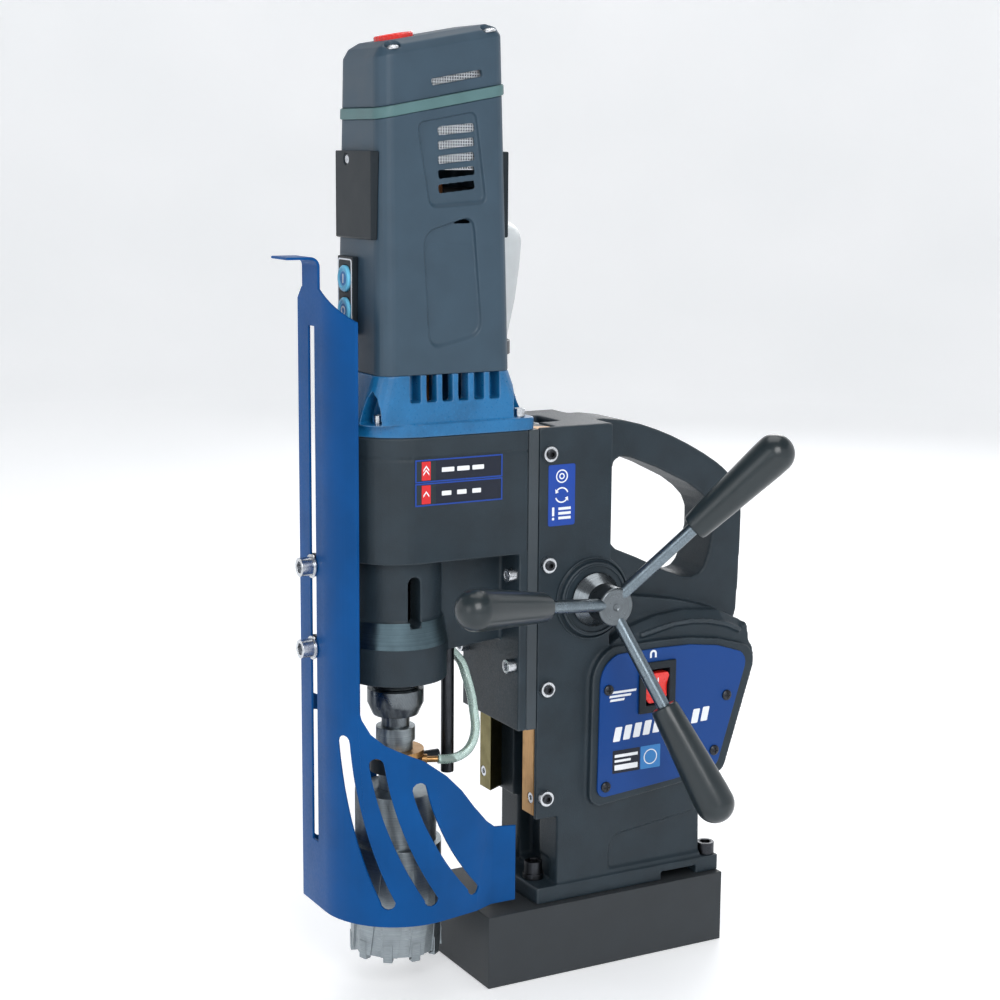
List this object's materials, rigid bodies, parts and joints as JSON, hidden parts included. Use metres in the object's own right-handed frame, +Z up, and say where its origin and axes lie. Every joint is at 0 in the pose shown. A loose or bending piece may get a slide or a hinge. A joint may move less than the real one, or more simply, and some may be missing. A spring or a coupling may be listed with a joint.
{
  "type": "magnetic drill press",
  "caption": "Portable drill press with an electromagnet foot, rack-fed drill head with a hole cutter, three-armed crank, sliding chip guard and coolant bottle.",
  "frame": {"origin": "centre of the magnet's bottom face", "axes": "+Z up along the column, +Y back towards the carry handle, +X towards the crank"},
  "size_m": [0.2384, 0.3255, 0.6045],
  "materials": {
    "dark_casting": "textured dark grey paint",
    "magnet_paint": "dark grey paint on steel",
    "winding": "enamelled copper wire",
    "resin": "black casting resin",
    "zinc": "bright zinc plated",
    "brass": "drawn brass",
    "olive_brass": "dull drawn brass",
    "black_screw": "blackened steel",
    "panel_blue": "satin blue printed plate",
    "black_plastic": "black moulded plastic",
    "red_plastic": "red moulded plastic",
    "board_green": "printed circuit board",
    "dark_steel": "turned dark steel",
    "steel": "ground steel",
    "grip_plastic": "dark grey semi-gloss plastic",
    "blue_casting": "glossy blue paint on a rough casting",
    "motor_plastic": "slate grey moulded plastic",
    "band_rubber": "grey moulded seal",
    "key_blue": "pale blue membrane key",
    "laminations": "stacked electrical steel",
    "rotor_copper": "laminations with copper winding",
    "fan_plastic": "moulded nylon",
    "hose_clear": "clear vinyl",
    "bottle_white": "translucent polyethylene",
    "cap_blue": "blue moulded plastic",
    "guard_blue": "glossy blue powder coat",
    "carbon": "carbon"
  },
  "bodies": {
    "base": {"magnet_body": "magnet_paint", "magnet_coil": "winding", "coil_potting": "resin", "column_housing": "dark_casting", "foot_bolts": "black_screw", "guide_strip_right": "brass", "guide_strip_left": "olive_brass", "strip_screws": "zinc", "gib_screws": "black_screw", "gib_nuts": "zinc", "control_panel": "panel_blue", "panel_screws": "black_screw", "switch_frame": "black_plastic", "circuit_board": "board_green", "mains_gland": "black_plastic", "shaft_bushes": "brass"},
    "rocker": {"magnet_rocker": "red_plastic"},
    "crank": {"pinion_shaft": "steel", "crank_hub": "dark_steel", "crank_rods": "steel", "crank_grips": "grip_plastic"},
    "head": {"head_slide": "dark_casting", "feed_rack": "steel", "gearbox_housing": "dark_casting", "slide_bolts": "zinc", "motor_flange": "blue_casting", "flange_screws": "zinc", "motor_housing": "motor_plastic", "seal_band": "band_rubber", "motor_cap": "motor_plastic", "cover_screws": "zinc", "brush_covers": "black_plastic", "carbon_brushes": "carbon", "keypad": "black_plastic", "stator": "laminations", "motor_bearings": "steel", "spindle_bearings": "steel", "torque_rod": "black_screw", "coolant_ring": "black_plastic", "brass_fittings": "brass", "coolant_hose": "hose_clear", "coolant_bottle": "bottle_white", "bottle_bracket": "black_screw", "guard_bracket": "black_screw", "guard_bolts": "zinc"},
    "filler_cap": {"bottle_cap": "cap_blue"},
    "dial": {"speed_dial": "red_plastic"},
    "start_key": {"start_button": "key_blue"},
    "stop_key": {"stop_button": "key_blue"},
    "rotor": {"armature": "rotor_copper", "cooling_fan": "fan_plastic"},
    "layshaft": {"lay_gears": "steel"},
    "spindle_set": {"spindle": "dark_steel", "spindle_gear": "steel", "arbor": "steel", "hole_cutter": "steel", "pin_spring": "steel"},
    "pilot": {"pilot_pin": "steel"},
    "selector": {"selector_knob": "black_plastic"},
    "guard_sheet": {"guard": "guard_blue"}
  },
  "joints": [
    {"name": "head_feed", "type": "slide", "parent": "base", "child": "head", "axis": [0, 0, -1], "range_m": [0, 0.095]},
    {"name": "crank_turn", "type": "hinge", "parent": "base", "child": "crank", "pos_m": [0.06, -0.0128, 0.2477], "axis": [1, 0, 0], "range_deg": [-5, 365]},
    {"name": "guard_slide", "type": "slide", "parent": "head", "child": "guard_sheet", "axis": [0, 0, 1], "range_m": [0, 0.12]},
    {"name": "spindle_turn", "type": "hinge", "parent": "head", "child": "spindle_set", "pos_m": [0, -0.134, 0.2], "axis": [0, 0, 1], "continuous": true},
    {"name": "layshaft_turn", "type": "hinge", "parent": "head", "child": "layshaft", "pos_m": [0, -0.09, 0.31], "axis": [0, 0, 1], "continuous": true},
    {"name": "rotor_turn", "type": "hinge", "parent": "head", "child": "rotor", "pos_m": [0, -0.115, 0.45], "axis": [0, 0, 1], "continuous": true},
    {"name": "pilot_push", "type": "slide", "parent": "spindle_set", "child": "pilot", "axis": [0, 0, 1], "range_m": [0, 0.022], "stiffness_N_per_m": 150, "springref_m": -0.01, "deforming": ["pin_spring"]},
    {"name": "magnet_switch", "type": "hinge", "parent": "base", "child": "rocker", "pos_m": [0.041, 0.034, 0.185], "axis": [0, 1, 0], "range_deg": [-16, 0]},
    {"name": "start_press", "type": "slide", "parent": "head", "child": "start_key", "axis": [0, 1, 0], "range_m": [0, 0.0015], "stiffness_N_per_m": 800},
    {"name": "stop_press", "type": "slide", "parent": "head", "child": "stop_key", "axis": [0, 1, 0], "range_m": [0, 0.0015], "stiffness_N_per_m": 800},
    {"name": "speed_turn", "type": "hinge", "parent": "head", "child": "dial", "pos_m": [0, -0.134, 0.59193], "axis": [0, -0.1788, 0.9839], "range_deg": [-135, 135]},
    {"name": "selector_turn", "type": "hinge", "parent": "head", "child": "selector", "pos_m": [-0.05, -0.112, 0.322], "axis": [1, 0, 0], "range_deg": [0, 90]},
    {"name": "filler_cap_lift", "type": "slide", "parent": "head", "child": "filler_cap", "axis": [0, 0, 1], "range_m": [0, 0.03]}
  ],
  "couplings": [
    {"joint": "crank_turn", "follows": "head_feed", "rad_per_m": 66.667},
    {"joint": "guard_slide", "follows": "head_feed", "ratio": 1},
    {"joint": "layshaft_turn", "follows": "spindle_turn", "ratio": -2.6667},
    {"joint": "rotor_turn", "follows": "spindle_turn", "ratio": 10.667}
  ]
}
